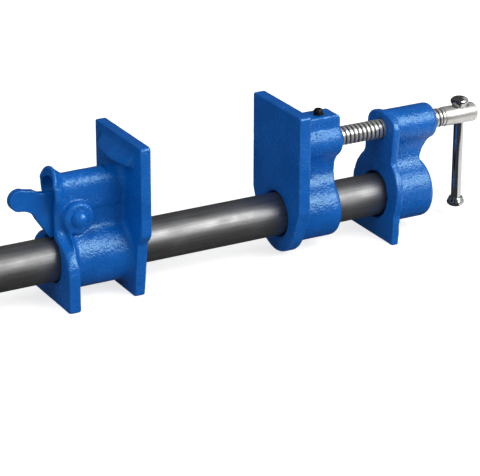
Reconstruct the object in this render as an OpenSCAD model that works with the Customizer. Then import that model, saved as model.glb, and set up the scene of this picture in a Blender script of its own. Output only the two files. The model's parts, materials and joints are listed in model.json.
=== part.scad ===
// Woodworking clamp that rides on a length of steel pipe, in millimetres.
// X runs along the pipe towards the handle, Y across it, Z up.
// The feet stand on Z = 0 and the pipe and screw lie in the plane Y = 0.

/* [Pipe] */
// Length of the pipe
pipe_len = 457; // [400:1:900]
// Outside diameter of the pipe
pipe_d = 26.7; // [24:0.1:28]
// Wall thickness of the pipe
pipe_wall = 2.9; // [2:0.1:4]
// Bevel on the pipe's free end
pipe_bevel = 0.8; // [0.3:0.1:1.2]

/* [Layout] */
// Height of the pipe's axis above the bench
foot_h = 26; // [25:0.5:40]
// Height of the screw's axis above the pipe's axis
screw_rise = 43; // [41:0.5:48]
// Top of both jaw plates above the pipe's axis
jaw_rise = 70.6; // [68:0.1:90]
// Opening between the two jaw faces as shown
jaw_gap = 100; // [60:1:160]
// Screw showing between the moving jaw and the fixed head
screw_show = 29.2; // [20:0.1:60]
// Play between the pipe and a jaw that slides on it
slide_play = 0.6; // [0.4:0.05:1]

/* [Fixed head] */
// Length of the lower boss round the pipe
head_low_len = 33; // [28:0.5:50]
// Length of the upper boss round the screw
head_up_len = 39.5; // [36:0.5:56]
// Outside radius of the lower boss
head_low_r = 19.2; // [18:0.1:21]
// Outside radius of the upper boss
head_up_r = 11.3; // [10.5:0.1:12.5]
// Length of the web at its waist
head_web_len = 29; // [20:0.5:31]
// Thickness of the flange
head_flange_t = 5; // [4:0.1:8]
// Half width of the flange at the foot
head_foot_w = 26; // [25:0.5:34]
// Radius of the flange's disc round the pipe
head_disc_r = 26.5; // [24.5:0.5:28]
// Height of that disc's centre above the pipe's axis
head_disc_rise = 3; // [0:0.5:5]
// Half width of the flange beside the screw
head_neck_w = 16; // [15:0.5:18]
// Lean of the flange, foot towards the jaws, in degrees
head_rake = 4.5; // [0:0.5:6]
// Radius of the wide mouth in front of the pipe's thread
head_mouth_r = 14.7; // [14.3:0.1:15.5]
// Depth of that mouth
head_mouth_len = 9; // [4:0.5:14]
// How far the pipe's end stays inside the head
pipe_recess = 2; // [0.5:0.5:6]

/* [Moving jaw] */
// Thickness of the clamping plate
jaw_plate_t = 7.8; // [6:0.1:12]
// Half width of the clamping plate
jaw_plate_w = 29.2; // [27:0.1:36]
// Height above the pipe's axis where the plate's straight sides end
jaw_side_end = 9; // [4:0.5:16]
// Radius of the plate's round lower end
jaw_round_r = 24; // [21:0.5:25.5]
// Length of the lower boss, from the face
jaw_low_len = 37; // [26:0.5:50]
// Length of the upper boss, from the face
jaw_up_len = 42; // [38:0.5:60]
// Outside radius of the lower boss
jaw_low_r = 19.4; // [18:0.1:21]
// Outside radius of the upper boss
jaw_up_r = 11.5; // [10.5:0.1:12.5]
// Half width of the pad on the upper boss
jaw_pad_w = 7.5; // [5:0.1:9]
// Top of the pad above the screw's axis
jaw_pad_rise = 17.2; // [14:0.1:22]

/* [Tail jaw] */
// Thickness of the clamping plate
tail_plate_t = 6.8; // [5:0.1:10]
// Half width of the clamping plate
tail_plate_w = 30.7; // [28:0.1:38]
// Height above the pipe's axis where the plate narrows to its leg
tail_plate_end = 15.5; // [13:0.5:22]
// Length from the face to the left leg
tail_len = 51.5; // [46:0.5:64]
// How far the mouth's lip stands out past the left leg
tail_lip_out = 1.5; // [1:0.1:3]
// Height of the lip's centre above the tunnel's axis
tail_lip_rise = 5.9; // [5:0.1:7]
// Lean of the lip, its top towards the jaw face, in degrees
tail_lip_lean = 13; // [0:1:16]
// Thickness of the lip
tail_lip_t = 2.8; // [2.4:0.1:4]
// Thickness of both legs
tail_leg_t = 7; // [5:0.1:9]
// Half width of the left leg
tail_leg_w = 26; // [23:0.5:30]
// Half width of the right leg at its foot
tail_foot_w = 20.5; // [19:0.5:26]
// Outside radius of the lower boss
tail_low_r = 19.6; // [18:0.1:21]
// Height of the lever's tunnel above the pipe's axis
tail_tube_rise = 44; // [42:0.5:46]
// Outside radius of the tunnel
tail_tube_r = 8.3; // [7.8:0.1:9]
// Inside radius of the tunnel
tail_bore_r = 5.8; // [5.4:0.1:6.2]
// Rise of the tunnel's mouth towards the lip, in degrees
tail_mouth_rise = 15; // [8:1:20]
// Half width of the lever's slot
tail_slot_w = 3.7; // [3.4:0.05:4]
// Outside half width of the cheeks beside the slot
tail_cheek_w = 7.5; // [7:0.1:7.7]
// Outside radius of the lip
tail_lip_r = 8.4; // [8:0.1:9.5]

/* [Cam lever] */
// Distance from the left leg's outer face to the pivot
pivot_in = 13.5; // [12:0.1:15]
// Height of the pivot above the pipe's axis
pivot_rise = 27.3; // [26:0.1:29]
// Thickness of the lever
lever_t = 5; // [4:0.1:5.6]
// Reach of the paddle's centre from the pivot
paddle_reach = 32.6; // [30:0.1:44]
// Height of the paddle's centre above the pivot
paddle_rise = 13.3; // [12:0.1:15]
// Radius of the paddle
paddle_r = 6.6; // [5.5:0.1:8]
// Number of teeth on the cam
cam_teeth = 9; // [4:1:12]
// Depth of a tooth
tooth_depth = 1; // [0.4:0.1:1.4]
// Diameter of the pivot pin
pin_d = 6; // [5:0.1:7]
// Radius of the pin's domed heads
pin_head_r = 5.4; // [5:0.1:7]
// Height of the pin's domed heads
pin_head_h = 4.2; // [2:0.1:4.6]
// Radius of the bosses under the heads
pin_boss_r = 9.7; // [8.5:0.1:10.2]
// Outer face of those bosses from the centre plane
pin_boss_out = 13.2; // [12:0.1:15]

/* [Lever spring] */
// Wire diameter
wire_d = 1; // [0.8:0.05:1.2]
// Mean radius of the coil
coil_r = 4.7; // [4.4:0.05:5]
// Number of turns
coil_turns = 2.75; // [1.75:1:3.75]
// Rise of the coil for each turn
coil_pitch = 1.45; // [1.42:0.01:1.6]
// Length of the spring's two arms
arm_len = 6; // [5:0.5:7]

/* [Screw and handle] */
// Outside diameter of the screw's thread
screw_d = 12; // [11:0.1:12.4]
// Lead of the screw
screw_pitch = 3; // [2:0.5:4]
// Thread left showing behind the fixed head
thread_behind = 6; // [5:0.5:20]
// Width of the relief neck behind the thread
relief_w = 3.5; // [2:0.1:6]
// Radius of the relief neck
relief_r = 4.6; // [4:0.1:5.2]
// Length of the handle hub
hub_len = 24; // [20:0.5:34]
// Diameter of the handle hub
hub_d = 12.4; // [11:0.1:13]
// Distance from the hub's end to the tommy bar
bar_in = 10.8; // [8:0.1:14]
// Diameter of the tommy bar
bar_d = 6.4; // [5:0.1:7.2]
// Length of the bar over both caps
bar_len = 74; // [60:0.5:110]
// Radius of the bar's end caps
cap_r = 5.75; // [4.8:0.05:6.5]
// Height of an end cap
cap_h = 6.2; // [5:0.1:9]
// Depth of the spot faces in the hub on which the caps rest
cap_sink = 1.2; // [0.4:0.1:2]
// Length of the screw's plain nose inside the moving jaw
nose_len = 20.5; // [18:0.1:24]
// Radius of the nose
nose_r = 5; // [4:0.1:5.4]
// Radius at the bottom of the nose's groove
groove_r = 3.7; // [3:0.1:4.2]
// Diameter of the set screw
grub_d = 6; // [5:0.1:6.4]
// Height that the set screw stands above the pad
grub_proud = 3.4; // [1:0.1:5]
// Distance from the set screw to the end of the moving jaw's boss
grub_in = 12.5; // [10:0.1:14]

/* [Hidden] */
$fn = 96;
// Clearances: pieces fixed together, a pin that turns, and faces that only meet
fixed_gap = 0.05;
turn_gap = 0.05;
meet_gap = 0.3;
// Overrun of every cut
cut = 1;

cast_blue = [0.06, 0.30, 0.62];
pipe_grey = [0.26, 0.25, 0.24];
plated = [0.74, 0.73, 0.70];
chrome = [0.82, 0.83, 0.85];
black = [0.07, 0.07, 0.08];

pipe_r = pipe_d / 2;
screw_r = screw_d / 2;
hub_r = hub_d / 2;
bar_r = bar_d / 2;
pin_r = pin_d / 2;
grub_r = grub_d / 2;
slide_r = pipe_r + slide_play;

// Places along X: the part is centred between the pipe's free end and the hub's end
pipe_end = head_low_len - pipe_recess;
hub_end = head_up_len + thread_behind + relief_w + hub_len;
x_head = -(pipe_end - pipe_len + hub_end) / 2;
x_jaw = x_head - screw_show - jaw_up_len;
x_tail = x_jaw - jaw_gap;
pivot_back = tail_len - pivot_in;
x_pivot = x_tail - pivot_back;
x_bar = x_head + hub_end - bar_in;
z_screw = foot_h + screw_rise;
z_pivot = foot_h + pivot_rise;

// Small radii of the castings' edges and roots
edge_r = 1.6;
boss_edge_r = 2.6;
root_r = 4;
mouth_bevel = 1.2;

// Arc of points about a centre, from one angle to another
function arc(c, r, a, b, n = 12) = [for (i = [0 : n]) c + r * [cos(a + (b - a) * i / n), sin(a + (b - a) * i / n)]];

function unit(v) = v / norm(v);

// Points that round one corner q between its neighbours p and s with radius r; a straight run keeps its point
function corner(p, q, s, r, n = 5) =
    let (u = unit(p - q), v = unit(s - q), half = acos(u * v) / 2)
    half > 89.9 ? [q] :
    let (run = r / tan(half), c = q + unit(u + v) * r / sin(half),
         a = q + u * run - c, b = q + v * run - c,
         a0 = atan2(a[1], a[0]), turn = atan2(a[0] * b[1] - a[1] * b[0], a * b))
    arc(c, r, a0, a0 + turn, n);

// Closed outline from [y, z, radius] corners; a radius of zero keeps the corner sharp
function rounded(pts) =
    let (n = len(pts), xy = [for (p = pts) [p[0], p[1]]])
    [for (i = [0 : n - 1])
        each (pts[i][2] > 0 ? corner(xy[(i + n - 1) % n], xy[i], xy[(i + 1) % n], pts[i][2]) : [xy[i]])];

// The same half outline on both sides of the centre plane, from the top down and back up
function both_sides(half) =
    concat(half, [for (i = [len(half) - 1 : -1 : 0]) [-half[i][0], half[i][1], half[i][2]]]);

// Place where a line from an outside point touches a circle about the origin, on its lower side
function touch(p, r) = let (a = atan2(p[1], p[0]) - acos(r / norm(p))) r * [cos(a), sin(a)];

// A flat outline in Y and Z, made solid along X from x0 to x1
module along_x(x0, x1) {
    translate([x0, 0, 0]) rotate([90, 0, 90]) linear_extrude(x1 - x0) children();
}

// A flat outline in X and Z, made solid across Y from y0 to y1
module across_y(y0, y1) {
    translate([0, y1, 0]) rotate([90, 0, 0]) linear_extrude(y1 - y0) children();
}

// A profile of radius against X, turned about the X axis
module turned_x() {
    rotate([0, 90, 0]) rotate_extrude() children();
}

module rod_x(x0, x1, r) {
    translate([x0, 0, 0]) rotate([0, 90, 0]) cylinder(h = x1 - x0, r = r);
}

module rod_y(y0, y1, r) {
    translate([0, y1, 0]) rotate([90, 0, 0]) cylinder(h = y1 - y0, r = r);
}

// A boss from x = 0 to len whose free edge is rounded
module boss_x(len, r, edge = boss_edge_r) {
    turned_x() {
        square([r, len - edge]);
        square([r - edge, len]);
        translate([r - edge, len - edge]) circle(edge);
    }
}

// The hollow fillet that leads a boss of radius r into the plate at its root
module root_flare(r, f = root_r) {
    turned_x() difference() {
        translate([r - edge_r, 0]) square([f + edge_r, f]);
        translate([r + f, f]) circle(f);
    }
}

// A short cone that eases the edge of a bore at x, opening towards -X
module bore_mouth(x, r, bevel) {
    translate([x - cut, 0, 0]) rotate([0, 90, 0]) cylinder(h = bevel + cut, r1 = r + bevel + cut, r2 = r);
}

// Waisted outline of two bosses, d apart, joined by hollow sides of radius f
module waist(r_low, r_up, d, f) {
    a = r_low + f;
    b = r_up + f;
    z = (a * a - b * b + d * d) / (2 * d);
    y = sqrt(a * a - z * z);
    difference() {
        polygon([[0, 0], [y, z], [0, d], [-y, z]]);
        for (s = [-1, 1]) translate([s * y, z]) circle(f);
    }
}

// Hollow corners of radius f where an upright of half width w stands on a disc of radius r
module crotch(r, w, f) {
    z = sqrt(pow(r + f, 2) - pow(w + f, 2));
    difference() {
        polygon([[-w - f, z], [0, 0], [w + f, z]]);
        for (s = [-1, 1]) translate([s * (w + f), z]) circle(f);
    }
}

// Web between two bosses: waisted in Y and Z, its free end drawn in from the bosses' ends to web_len
module web(r_low, r_up, d, f, low_len, up_len, web_len) {
    intersection() {
        along_x(0, up_len) waist(r_low, r_up, d, f);
        across_y(-r_low, r_low) polygon(rounded([
            [0, 0, 0],
            [low_len, 0, 0],
            [low_len, r_low * 0.6, r_low * 0.3],
            [web_len, d * 0.48, r_low * 0.5],
            [up_len, d - r_up * 0.6, r_up * 0.3],
            [up_len, d, 0],
            [0, d, 0]]));
    }
}

// A drum across Y, rounded at both edges
module drum_y(half, r, edge) {
    rotate([90, 0, 0]) rotate_extrude() {
        translate([0, -half]) square([r - edge, 2 * half]);
        translate([0, edge - half]) square([r, 2 * (half - edge)]);
        for (s = [-1, 1]) translate([r - edge, s * (half - edge)]) circle(edge);
    }
}

// Length of pipe, its free end bevelled
module pipe() {
    x1 = x_head + pipe_end;
    color(pipe_grey) translate([0, 0, foot_h]) difference() {
        union() {
            rod_x(x1 - pipe_len + pipe_bevel, x1, pipe_r);
            translate([x1 - pipe_len, 0, 0]) rotate([0, 90, 0])
                cylinder(h = pipe_bevel, r1 = pipe_r - pipe_bevel, r2 = pipe_r);
        }
        rod_x(x1 - pipe_len - cut, x1 + cut, pipe_r - pipe_wall);
    }
}

head_top = screw_rise + head_up_r;
waist_f = 14;
head_flare_low = root_r;
head_flare_up = head_neck_w - head_up_r - edge_r * 0.75;

// Flange: neck with an arched top, disc round the pipe and spread foot
module head_flange_outline() {
    polygon(rounded(both_sides([
        [head_neck_w, head_top - edge_r * 0.6, head_neck_w * 0.58],
        [head_neck_w, 0, 0]])));
    translate([0, head_disc_rise]) {
        circle(head_disc_r);
        crotch(head_disc_r, head_neck_w, root_r * 0.75);
    }
    polygon(rounded(both_sides([[head_foot_w - edge_r, 0, 0], [head_foot_w, -foot_h - root_r, 0]])));
}

// Flange with the hollow fillets that lead the two bosses into it; the flange leans, the bosses don't
module head_flange() {
    far = head_flange_t + root_r;
    z_up = screw_rise;
    difference() {
        rotate([0, head_rake, 0]) along_x(-cut, far) head_flange_outline();
        difference() {
            rotate([0, head_rake, 0]) translate([head_flange_t, -2 * head_foot_w, -2 * head_top])
                cube([2 * far, 4 * head_foot_w, 4 * head_top]);
            translate([head_flange_t - edge_r, 0, 0]) root_flare(head_low_r, head_flare_low);
            translate([head_flange_t - edge_r + z_up * tan(head_rake), 0, z_up]) root_flare(head_up_r, head_flare_up);
            rod_x(0, 4 * far, head_low_r - edge_r / 2);
            translate([0, 0, z_up]) rod_x(0, 4 * far, head_up_r - edge_r / 2);
        }
    }
}

// Head casting: threaded on to the pipe below, nut for the screw above, flange with a foot
module fixed_head() {
    color(cast_blue) translate([x_head, 0, foot_h]) difference() {
        union() {
            head_flange();
            boss_x(head_low_len, head_low_r);
            translate([0, 0, screw_rise]) boss_x(head_up_len, head_up_r);
            web(head_low_r, head_up_r, screw_rise, waist_f,
                head_low_len - boss_edge_r, head_up_len - boss_edge_r, head_web_len);
        }
        // Leaning front face and flat foot
        rotate([0, head_rake, 0]) translate([-head_low_len, -2 * head_foot_w, -2 * head_top])
            cube([head_low_len, 4 * head_foot_w, 4 * head_top]);
        translate([-head_low_len, -2 * head_foot_w, -foot_h - head_low_len])
            cube([2 * head_low_len, 4 * head_foot_w, head_low_len]);
        rod_x(-head_low_len, head_low_len + cut, pipe_r + fixed_gap);
        rod_x(-head_low_len, head_mouth_len, head_mouth_r);
        translate([0, 0, screw_rise]) rod_x(-head_low_len, head_up_len + cut, screw_r + turn_gap * 2);
    }
}

jaw_top = [jaw_plate_w, jaw_rise, edge_r];

module jaw_plate_outline() {
    side = [jaw_plate_w, jaw_side_end];
    low = touch(side, jaw_round_r);
    polygon(rounded(both_sides([jaw_top, [side[0], side[1], root_r * 2], [low[0], low[1], 0], [0, low[1], 0]])));
    circle(jaw_round_r);
}

// Moving jaw casting: flat plate in front, pipe boss below, socket for the screw's nose above
module moving_jaw() {
    color(cast_blue) translate([x_jaw, 0, foot_h]) difference() {
        union() {
            along_x(0, jaw_plate_t) jaw_plate_outline();
            boss_x(jaw_low_len, jaw_low_r);
            translate([0, 0, screw_rise]) boss_x(jaw_up_len, jaw_up_r);
            web(jaw_low_r, jaw_up_r, screw_rise, waist_f,
                jaw_low_len - edge_r, jaw_up_len - boss_edge_r, (jaw_low_len + jaw_up_len) / 2 - edge_r);
            translate([jaw_plate_t, 0, 0]) {
                root_flare(jaw_low_r);
                translate([0, 0, screw_rise]) root_flare(jaw_up_r);
            }
            across_y(-jaw_pad_w, jaw_pad_w) polygon(rounded([
                [0, screw_rise, 0],
                [jaw_up_len - edge_r / 2, screw_rise, 0],
                [jaw_up_len - edge_r / 2, screw_rise + jaw_pad_rise, boss_edge_r],
                [0, screw_rise + jaw_pad_rise, 0]]));
        }
        rod_x(-cut, jaw_low_len + cut, slide_r);
        bore_mouth(0, slide_r, mouth_bevel);
        translate([0, 0, screw_rise]) rod_x(jaw_up_len - nose_len - meet_gap, jaw_up_len + cut, nose_r + turn_gap);
        translate([jaw_up_len - grub_in, 0, screw_rise])
            cylinder(h = jaw_pad_rise + cut, r = grub_r + fixed_gap);
    }
}

// Socket set screw that keeps the screw's nose in the moving jaw
module jaw_set_screw() {
    low = groove_r + meet_gap;
    high = jaw_pad_rise + grub_proud;
    bevel = grub_r / 4;
    color(black) translate([x_jaw + jaw_up_len - grub_in, 0, z_screw]) difference() {
        union() {
            translate([0, 0, low]) cylinder(h = bevel, r1 = grub_r - bevel, r2 = grub_r);
            translate([0, 0, low + bevel]) cylinder(h = high - low - 2 * bevel, r = grub_r);
            translate([0, 0, high - bevel]) cylinder(h = bevel, r1 = grub_r, r2 = grub_r - bevel);
        }
        translate([0, 0, high - grub_r]) cylinder(h = grub_r + cut, r = grub_r * 0.58, $fn = 6);
    }
}

// Screw turned from one bar: nose with groove, thread body, relief neck and handle hub
module screw_spindle() {
    groove_w = grub_d + 2 * meet_gap;
    thread_start = nose_len + meet_gap;
    neck_start = nose_len + screw_show + head_up_len + thread_behind;
    hub_start = neck_start + relief_w;
    len_all = hub_start + hub_len;
    bevel = screw_pitch / 3;
    groove_at = nose_len - grub_in - groove_w / 2;
    color(plated) difference() {
        translate([x_jaw + jaw_up_len - nose_len, 0, z_screw]) turned_x() polygon([
            [0, 0], [nose_r - bevel, 0], [nose_r, bevel],
            [nose_r, groove_at], [groove_r, groove_at],
            [groove_r, groove_at + groove_w], [nose_r, groove_at + groove_w],
            [nose_r, thread_start], [screw_r - bevel, thread_start], [screw_r, thread_start + bevel],
            [screw_r, neck_start - bevel], [relief_r, neck_start], [relief_r, hub_start],
            [hub_r - bevel, hub_start], [hub_r, hub_start + bevel],
            [hub_r, len_all - bevel], [hub_r - bevel, len_all], [0, len_all]]);
        // Hole for the bar, with a spot face for a cap at each end
        translate([x_bar, 0, z_screw]) {
            translate([0, 0, -hub_r - cut]) cylinder(h = hub_d + 2 * cut, r = bar_r + turn_gap * 2);
            for (s = [0, 180]) rotate([s, 0, 0]) translate([0, 0, hub_r - cap_sink])
                cylinder(h = cap_sink + cut, r = cap_r + meet_gap);
        }
    }
}

// The bar hangs with its upper cap on the hub's spot face
cap_floor = hub_r - cap_sink + meet_gap;
cap_socket = cap_h * 0.6;
bar_low = cap_floor + cap_h - bar_len;

// Sliding tommy bar, a plain rod whose ends seat in the caps
module tommy_bar() {
    color(chrome) translate([x_bar, 0, z_screw + bar_low + cap_h - cap_socket])
        cylinder(h = bar_len - 2 * (cap_h - cap_socket), r = bar_r);
}

// Mushroom cap, open downwards, its rim at z = 0
module end_cap() {
    round_r = cap_h * 0.42;
    difference() {
        rotate_extrude() {
            square([cap_r - round_r, cap_h]);
            translate([0, round_r]) square([cap_r, cap_h - 2 * round_r]);
            for (z = [round_r, cap_h - round_r]) translate([cap_r - round_r, z]) circle(round_r);
        }
        translate([0, 0, -cut]) cylinder(h = cap_socket + fixed_gap + cut, r = bar_r + fixed_gap);
    }
}

module bar_cap_upper() {
    color(chrome) translate([x_bar, 0, z_screw + cap_floor]) end_cap();
}

module bar_cap_lower() {
    color(chrome) translate([x_bar, 0, z_screw + bar_low + cap_h]) mirror([0, 0, 1]) end_cap();
}

// The lever's tunnel ends this far past the pivot, and a wall closes it before the plate
slot_past_pivot = paddle_r * 2;
tunnel_wall = tail_leg_t / 2;
shoulder_rise = tail_leg_w * 0.5;
tail_crotch_r = 6;
tail_side_low = tail_tube_rise - tail_tube_r * 1.55;
lip_edge = tail_lip_t / 2;
lip_end_r = lip_edge * 0.8;

// Upright opening with a round head, half width w, head centre at height z
module arch(w, z) {
    translate([-w, 0]) square([2 * w, z]);
    translate([0, z]) circle(w);
}

// Body of the tail jaw: pipe boss, cheeks and tunnel in one outline
module tail_body_outline() {
    circle(tail_low_r);
    arch(tail_cheek_w, tail_tube_rise);
    translate([0, tail_side_low]) arch(tail_tube_r, tail_tube_rise - tail_side_low);
    crotch(tail_low_r, tail_cheek_w, tail_crotch_r);
}

module tail_plate_outline() {
    polygon(rounded(both_sides([
        [tail_plate_w, jaw_rise, edge_r],
        [tail_plate_w, tail_plate_end, edge_r * 2],
        [tail_leg_w - edge_r / 2, tail_plate_end - root_r * 1.6, edge_r * 2],
        [tail_foot_w, -foot_h, edge_r]])));
}

module tail_leg_outline() {
    polygon(rounded(both_sides([
        [tail_cheek_w, shoulder_rise + edge_r, 0],
        [tail_leg_w, shoulder_rise, shoulder_rise * 1.3],
        [tail_leg_w, -foot_h, edge_r]])));
}

// Ledge across the plate's back, above the tunnel, its ends rounded off in plan
module back_ledge() {
    w = tail_plate_w * 0.7;
    out = tail_plate_t * 0.68;
    z = tail_tube_rise + tail_tube_r + root_r * 1.7;
    intersection() {
        across_y(-w - cut, w + cut) polygon(rounded([
            [edge_r, z + out * 1.8, 0], [-out, z, edge_r], [-out, z - edge_r, edge_r / 2], [edge_r, z - root_r, 0]]));
        translate([0, 0, z - root_r - cut]) linear_extrude(root_r + out * 2 + 2 * cut)
            polygon(rounded([[edge_r, -w, 0], [edge_r, w, 0], [-out - edge_r, w, out], [-out - edge_r, -w, out]]));
    }
}

// The horn behind the lip falls by this angle from the lip's axis to the tunnel's
tail_horn_fall = 26;

// Places the lip's own frame: its centre at the origin, its axis along X
module at_lip() {
    translate([-tail_len - tail_lip_out + lip_edge, 0, tail_tube_rise + tail_lip_rise])
        rotate([0, tail_lip_lean, 0]) children();
}

// Round bar that narrows from radius ra at p to rb at q
module taper(p, q, ra, rb) {
    d = q - p;
    translate(p) rotate([0, acos(d[2] / norm(d)), atan2(d[1], d[0])]) cylinder(h = norm(d), r1 = ra, r2 = rb);
}

// Rounded lip over the tunnel's mouth: a half ring, a horn behind it, and sides that run out down the cheeks
module lip() {
    ring = tail_lip_r - lip_edge;
    side_top = [-tail_len - tail_lip_out + lip_edge, ring, tail_tube_rise + tail_lip_rise];
    side_end = [lip_end_r - tail_len, tail_cheek_w - lip_end_r, tail_side_low + edge_r];
    at_lip() {
        intersection() {
            turned_x() translate([ring, 0]) circle(lip_edge);
            translate([-tail_lip_r, -tail_lip_r - cut, -edge_r]) cube([2 * tail_lip_r, 2 * (tail_lip_r + cut), 2 * tail_lip_r]);
        }
        intersection() {
            rotate([0, tail_horn_fall, 0]) rod_x(-tail_lip_r, tail_lip_r, ring + edge_r / 8);
            translate([0, -tail_lip_r, -tail_lip_r]) cube(2 * tail_lip_r);
        }
    }
    for (s = [-1, 1]) taper([side_top[0], s * side_top[1], side_top[2]], [side_end[0], s * side_end[1], side_end[2]],
        lip_edge, lip_end_r);
}

// Tail jaw casting: plate in front, two legs, and cheeks and a tunnel that hold the cam lever
module tail_jaw() {
    x_leg = -tail_len;
    x_front = x_leg - tail_lip_r;
    color(cast_blue) translate([x_tail, 0, foot_h]) difference() {
        union() {
            along_x(-tail_plate_t, 0) tail_plate_outline();
            along_x(x_leg, x_leg + tail_leg_t) tail_leg_outline();
            along_x(x_leg, -cut) tail_body_outline();
            lip();
            translate([x_leg + tail_leg_t, 0, 0]) root_flare(tail_low_r);
            translate([-tail_plate_t, 0, 0]) mirror([1, 0, 0]) {
                root_flare(tail_low_r, root_r);
                translate([0, 0, tail_tube_rise]) root_flare(tail_tube_r);
            }
            translate([-tail_plate_t, 0, 0]) back_ledge();
            translate([-pivot_back, 0, pivot_rise]) drum_y(pin_boss_out, pin_boss_r, edge_r);
        }
        // Bore for the pipe, slot for the cam and lever, and the tunnel with its rising mouth
        rod_x(x_front, cut, slide_r);
        along_x(x_front, -pivot_back + slot_past_pivot) arch(tail_slot_w, tail_tube_rise);
        translate([0, 0, tail_tube_rise]) {
            rod_x(x_front, -tail_plate_t - tunnel_wall, tail_bore_r);
            translate([x_leg + tail_tube_r, 0, 0]) rotate([0, tail_mouth_rise, 0])
                rod_x(-2 * tail_len, 0, tail_bore_r);
        }
        // Bore for the pin, pocket for the spring's coil in the far boss and notch for its fixed arm
        translate([-pivot_back, 0, pivot_rise]) {
            rod_y(-pin_boss_out - cut, pin_boss_out + cut, pin_r + fixed_gap);
            rod_y(0, pocket_end, recess_r);
            translate([-recess_r, 0, 0]) cube([wire_d + 2 * meet_gap, pocket_end, arm_len + meet_gap]);
        }
    }
}

// Rivet through both cheeks and the lever, its two heads domed
module pivot_pin() {
    dome_r = (pow(pin_head_r, 2) + pow(pin_head_h, 2)) / (2 * pin_head_h);
    color(cast_blue) translate([x_pivot, 0, z_pivot]) {
        rod_y(-pin_boss_out - pin_head_h / 2, pin_boss_out + pin_head_h / 2, pin_r);
        for (s = [0, 180]) rotate([-90, 0, s]) translate([0, 0, pin_boss_out + fixed_gap]) rotate_extrude()
            intersection() {
                translate([0, pin_head_h - dome_r]) circle(dome_r);
                square([pin_head_r, pin_head_h]);
            }
    }
}

// The cam's foot runs straight from under the pivot to the toe on the left, clear of the pipe
cam_reach = pivot_rise - pipe_r - meet_gap;
toe = cam_reach * [-1.04, -0.955];
foot_slope = (cam_reach + toe[1]) / toe[0];
heel_angle = -75;
bite_angle = -90;
toe_angle = atan2(toe[1], toe[0]);
function cam_r(a) = a > bite_angle
    ? cam_reach * (1 - 0.25 * (a - bite_angle) / -bite_angle)
    : cam_reach / (foot_slope * cos(a) - sin(a));

// Toothed stretch of the cam, each tooth with its steep side towards the jaw face
function cam_edge() = [for (i = [0 : cam_teeth - 1], k = [0, 1])
    let (a = heel_angle + (toe_angle + 4 - heel_angle) * (i + k * 0.8) / cam_teeth)
    (cam_r(a) - (k == 1 ? tooth_depth : 0)) * [cos(a), sin(a)]];

// Outline of the lever in X and Z about the pivot: paddle, neck, eye and cam
module lever_outline() {
    eye_r = cam_reach * 0.7;
    hollow_r = paddle_r * 1.6;
    neck = [[-0.73, 0.72], [-0.63, 0.42], [-0.52, 0.34], [-0.4, 0.34], [-0.15, -0.1]];
    polygon(concat(
        arc([-paddle_reach, paddle_rise], paddle_r, -95, -300, 24),
        [for (p = neck) [p[0] * paddle_reach, paddle_rise + p[1] * paddle_r]],
        arc([0, 0], eye_r, 75, -60, 12),
        cam_edge(),
        [toe],
        arc([-paddle_reach, paddle_rise - paddle_r - hollow_r], hollow_r, 20, 86, 8)));
}

// The coil lies in a pocket of the far boss, its first turn in a shallow recess of the lever's side
recess_r = coil_r + wire_d / 2 + meet_gap;
recess_deep = max(wire_d + 2 * meet_gap + lever_t / 2 - tail_slot_w, meet_gap);
coil_y = lever_t / 2 - recess_deep + meet_gap + wire_d / 2;
pocket_end = coil_y + coil_turns * coil_pitch + wire_d / 2 + meet_gap;
arm_turn = 360 * coil_turns;

module cam_lever() {
    color(cast_blue) translate([x_pivot, 0, z_pivot]) difference() {
        across_y(-lever_t / 2, lever_t / 2) lever_outline();
        rod_y(-lever_t, lever_t, pin_r + turn_gap);
        rod_y(lever_t / 2 - recess_deep, lever_t, recess_r);
        // Groove in which the spring's inner arm lies
        translate([-arm_len - wire_d, lever_t / 2 - recess_deep, coil_r - wire_d])
            cube([arm_len + wire_d, recess_deep + cut, 2 * wire_d]);
    }
}

// Centre line of the spring about the pivot: inner arm to the left, coil, outer arm up to the tunnel
coil_steps = 8;
function coil_point(t) = [coil_r * sin(t), coil_y + coil_pitch * t / 360, coil_r * cos(t)];
function coil_way(t) = unit([coil_r * cos(t), coil_pitch / 360, -coil_r * sin(t)]);
spring_line = concat(
    [coil_point(0) - [arm_len, 0, 0], coil_point(0) - [arm_len / 2, 0, 0]],
    [for (i = [0 : coil_turns * coil_steps]) coil_point(360 * i / coil_steps)],
    [for (k = [0.5, 1]) coil_point(arm_turn) + k * arm_len * coil_way(arm_turn)]);

// Unbroken round wire through the points of a line, six sides, closed at both ends
module wire(line, r, sides = 6) {
    n = len(line);
    way = [for (i = [0 : n - 1]) unit(line[min(i + 1, n - 1)] - line[max(i - 1, 0)])];
    rings = [for (i = [0 : n - 1], k = [0 : sides - 1])
        let (u = unit(cross(way[i], [0, 1, 0])), v = cross(u, way[i]), a = 360 * k / sides)
        line[i] + r * (cos(a) * u + sin(a) * v)];
    skin = [for (i = [0 : n - 2], k = [0 : sides - 1])
        let (a = i * sides + k, b = i * sides + (k + 1) % sides)
        each [[a, a + sides, b], [b, a + sides, b + sides]]];
    caps = [for (k = [1 : sides - 2]) each [[0, k, k + 1],
        [(n - 1) * sides, (n - 1) * sides + k + 1, (n - 1) * sides + k]]];
    polyhedron(points = rings, faces = concat(skin, caps));
}

// Torsion spring on the pin that presses the cam on the pipe
module lever_spring() {
    n = len(spring_line);
    gaps = [for (i = [0 : n - 1], k = [i + coil_steps / 2 : n - 1]) norm(spring_line[i] - spring_line[k]) - wire_d];
    echo("least gap of the spring's wire to itself", min(gaps));
    color(plated) translate([x_pivot, 0, z_pivot]) wire(spring_line, wire_d / 2);
}

pipe();
fixed_head();
moving_jaw();
jaw_set_screw();
screw_spindle();
tommy_bar();
bar_cap_upper();
bar_cap_lower();
tail_jaw();
pivot_pin();
cam_lever();
lever_spring();
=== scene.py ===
import json
import math

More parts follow.
